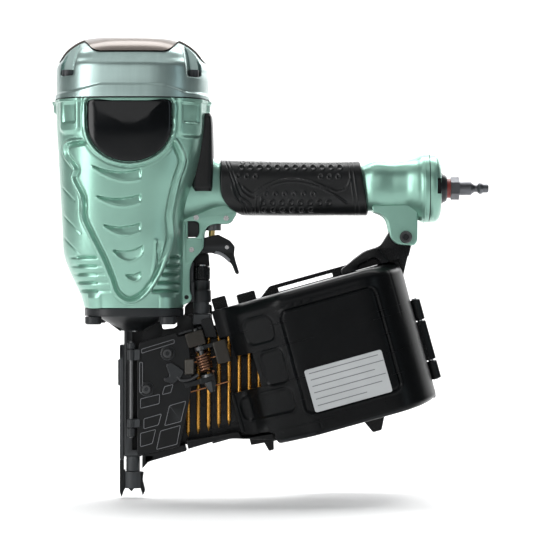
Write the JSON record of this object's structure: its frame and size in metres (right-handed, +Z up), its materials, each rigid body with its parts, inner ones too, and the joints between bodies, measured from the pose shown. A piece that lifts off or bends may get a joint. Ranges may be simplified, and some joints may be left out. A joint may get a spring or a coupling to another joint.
{
  "type": "pneumatic coil nailer",
  "caption": "Air-driven coil framing nailer with a hinged drum magazine, nail guide door, trigger, contact arm and a quick-connect air plug.",
  "frame": {"origin": "on the drive axis in the mouth of the contact tip, just below the end of the nose", "axes": "+Z up along the drive axis, +X towards the air plug, -Y is the side with the nail guide door and the magazine cover"},
  "size_m": [0.329, 0.1203, 0.347],
  "materials": {
    "mint_paint": "satin metallic paint on cast aluminium",
    "cap_paint": "satin silver-green paint on cast aluminium",
    "cover_bronze": "brown-grey metallic paint",
    "gloss_black": "high gloss",
    "grip_rubber": "matte moulded rubber",
    "black_metal": "black oxide and black paint",
    "black_plastic": "fine textured nylon",
    "steel": "ground steel",
    "light_alloy": "machined aluminium, dark anodised outside",
    "filter_mesh": "sintered bronze",
    "red_washer": "smooth fibre washer",
    "plug_steel": "plated steel, brownish",
    "plunger_brass": "machined brass",
    "spring_copper": "copper-brown spring wire",
    "nail_gold": "golden coated steel nails",
    "wire_copper": "copper-coated wire",
    "label_grey": "blank satin label with abstract bars"
  },
  "bodies": {
    "frame": {"housing": "mint_paint", "cylinder_cap": "cap_paint", "exhaust_cover": "cover_bronze", "cap_gasket": "grip_rubber", "cap_bolts": "black_metal", "rear_pad": "grip_rubber", "side_badges": "gloss_black", "grip_sleeve": "grip_rubber", "end_cap": "mint_paint", "inlet_boss": "light_alloy", "air_filter": "filter_mesh", "plug_washer": "red_washer", "air_plug": "plug_steel", "cylinder_liner": "steel", "cylinder_seals": "grip_rubber", "piston_bumper": "grip_rubber", "head_bumper": "grip_rubber", "head_valve_spring": "steel", "nose_body": "black_metal", "nose_bolts": "black_metal", "contact_arm_spring": "steel", "rod_guide": "black_metal", "trigger_pin": "steel", "trigger_spring": "steel", "trigger_valve_body": "light_alloy", "valve_pins": "steel", "feeder_cylinder": "black_plastic", "feeder_spring": "steel", "door_hinge_pin": "steel", "magazine_body": "black_plastic", "cover_hinge_pin": "steel", "holder_post": "steel", "nail_strip": "nail_gold", "nail_coil": "nail_gold", "collation_wires": "wire_copper", "magazine_bolt": "black_metal"},
    "drive_piston": {"piston": "light_alloy", "piston_ring": "grip_rubber", "driver_blade": "steel"},
    "head_valve": {"head_valve": "light_alloy"},
    "contact_arm": {"contact_arm": "black_metal", "contact_tip": "black_metal", "contact_rod": "steel"},
    "depth_adjuster": {"depth_adjuster": "black_plastic"},
    "trigger": {"trigger": "black_metal", "trigger_arm_pin": "steel"},
    "trigger_arm": {"trigger_arm": "steel"},
    "valve_plunger": {"trigger_valve_plunger": "plunger_brass"},
    "feeder_piston": {"feeder_piston": "steel", "pawl_pin": "steel"},
    "feed_pawl": {"feed_pawl": "steel"},
    "door": {"nail_guide_door": "black_metal", "door_screws": "black_metal", "latch_spring": "spring_copper"},
    "door_latch": {"door_latch": "black_metal"},
    "magazine_cover": {"magazine_cover": "black_plastic", "label_plate": "label_grey"},
    "nail_holder": {"nail_holder": "black_plastic"}
  },
  "joints": [
    {"name": "piston_stroke", "type": "slide", "parent": "frame", "child": "drive_piston", "axis": [0, 0, -1], "range_m": [0, 0.106]},
    {"name": "head_valve_lift", "type": "slide", "parent": "frame", "child": "head_valve", "axis": [0, 0, 1], "range_m": [0, 0.0045], "stiffness_N_per_m": 2500, "springref_m": -0.006, "deforming": ["head_valve_spring"]},
    {"name": "contact_arm_slide", "type": "slide", "parent": "frame", "child": "contact_arm", "axis": [0, 0, 1], "range_m": [0, 0.008], "stiffness_N_per_m": 1500, "springref_m": -0.014, "deforming": ["contact_arm_spring"]},
    {"name": "depth_adjuster_turn", "type": "hinge", "parent": "contact_arm", "child": "depth_adjuster", "pos_m": [0.052, 0, 0.1515], "axis": [0, 0, 1], "range_deg": [-180, 180]},
    {"name": "trigger_pull", "type": "hinge", "parent": "frame", "child": "trigger", "pos_m": [0.045, 0, 0.1693], "axis": [0, -1, 0], "range_deg": [0, 9], "stiffness_Nm_per_rad": 0.6, "springref_deg": -22.92, "deforming": ["trigger_spring"]},
    {"name": "trigger_arm_pivot", "type": "hinge", "parent": "trigger", "child": "trigger_arm", "pos_m": [0.0717, 0, 0.1712], "axis": [0, 1, 0], "range_deg": [0, 10], "stiffness_Nm_per_rad": 0.05, "springref_deg": -17.19},
    {"name": "valve_plunger_slide", "type": "slide", "parent": "frame", "child": "valve_plunger", "axis": [0, 0, 1], "range_m": [0, 0.0025], "stiffness_N_per_m": 800, "springref_m": -0.004},
    {"name": "feeder_stroke", "type": "slide", "parent": "frame", "child": "feeder_piston", "axis": [0.9636, 0, 0.2672], "range_m": [0, 0.009], "stiffness_N_per_m": 900, "springref_m": -0.008, "deforming": ["feeder_spring"]},
    {"name": "feed_pawl_pivot", "type": "hinge", "parent": "feeder_piston", "child": "feed_pawl", "pos_m": [0.0179, 0.0162, 0.05893], "axis": [0.2672, 0, -0.9636], "range_deg": [0, 14], "stiffness_Nm_per_rad": 0.02, "springref_deg": -28.65},
    {"name": "door_swing", "type": "hinge", "parent": "frame", "child": "door", "pos_m": [-0.0008, -0.0099, 0.06], "axis": [0, 0, -1], "range_deg": [0, 115]},
    {"name": "door_latch_slide", "type": "slide", "parent": "door", "child": "door_latch", "axis": [0.2672, 0, -0.9636], "range_m": [0, 0.005], "stiffness_N_per_m": 900, "springref_m": -0.006, "deforming": ["latch_spring"]},
    {"name": "magazine_cover_swing", "type": "hinge", "parent": "frame", "child": "magazine_cover", "pos_m": [0.22331, 0.005, 0.10033], "axis": [-0.2672, 0, 0.9636], "range_deg": [0, 110]},
    {"name": "nail_holder_height", "type": "slide", "parent": "frame", "child": "nail_holder", "axis": [0.2672, 0, -0.9636], "range_m": [0, 0.014]}
  ]
}
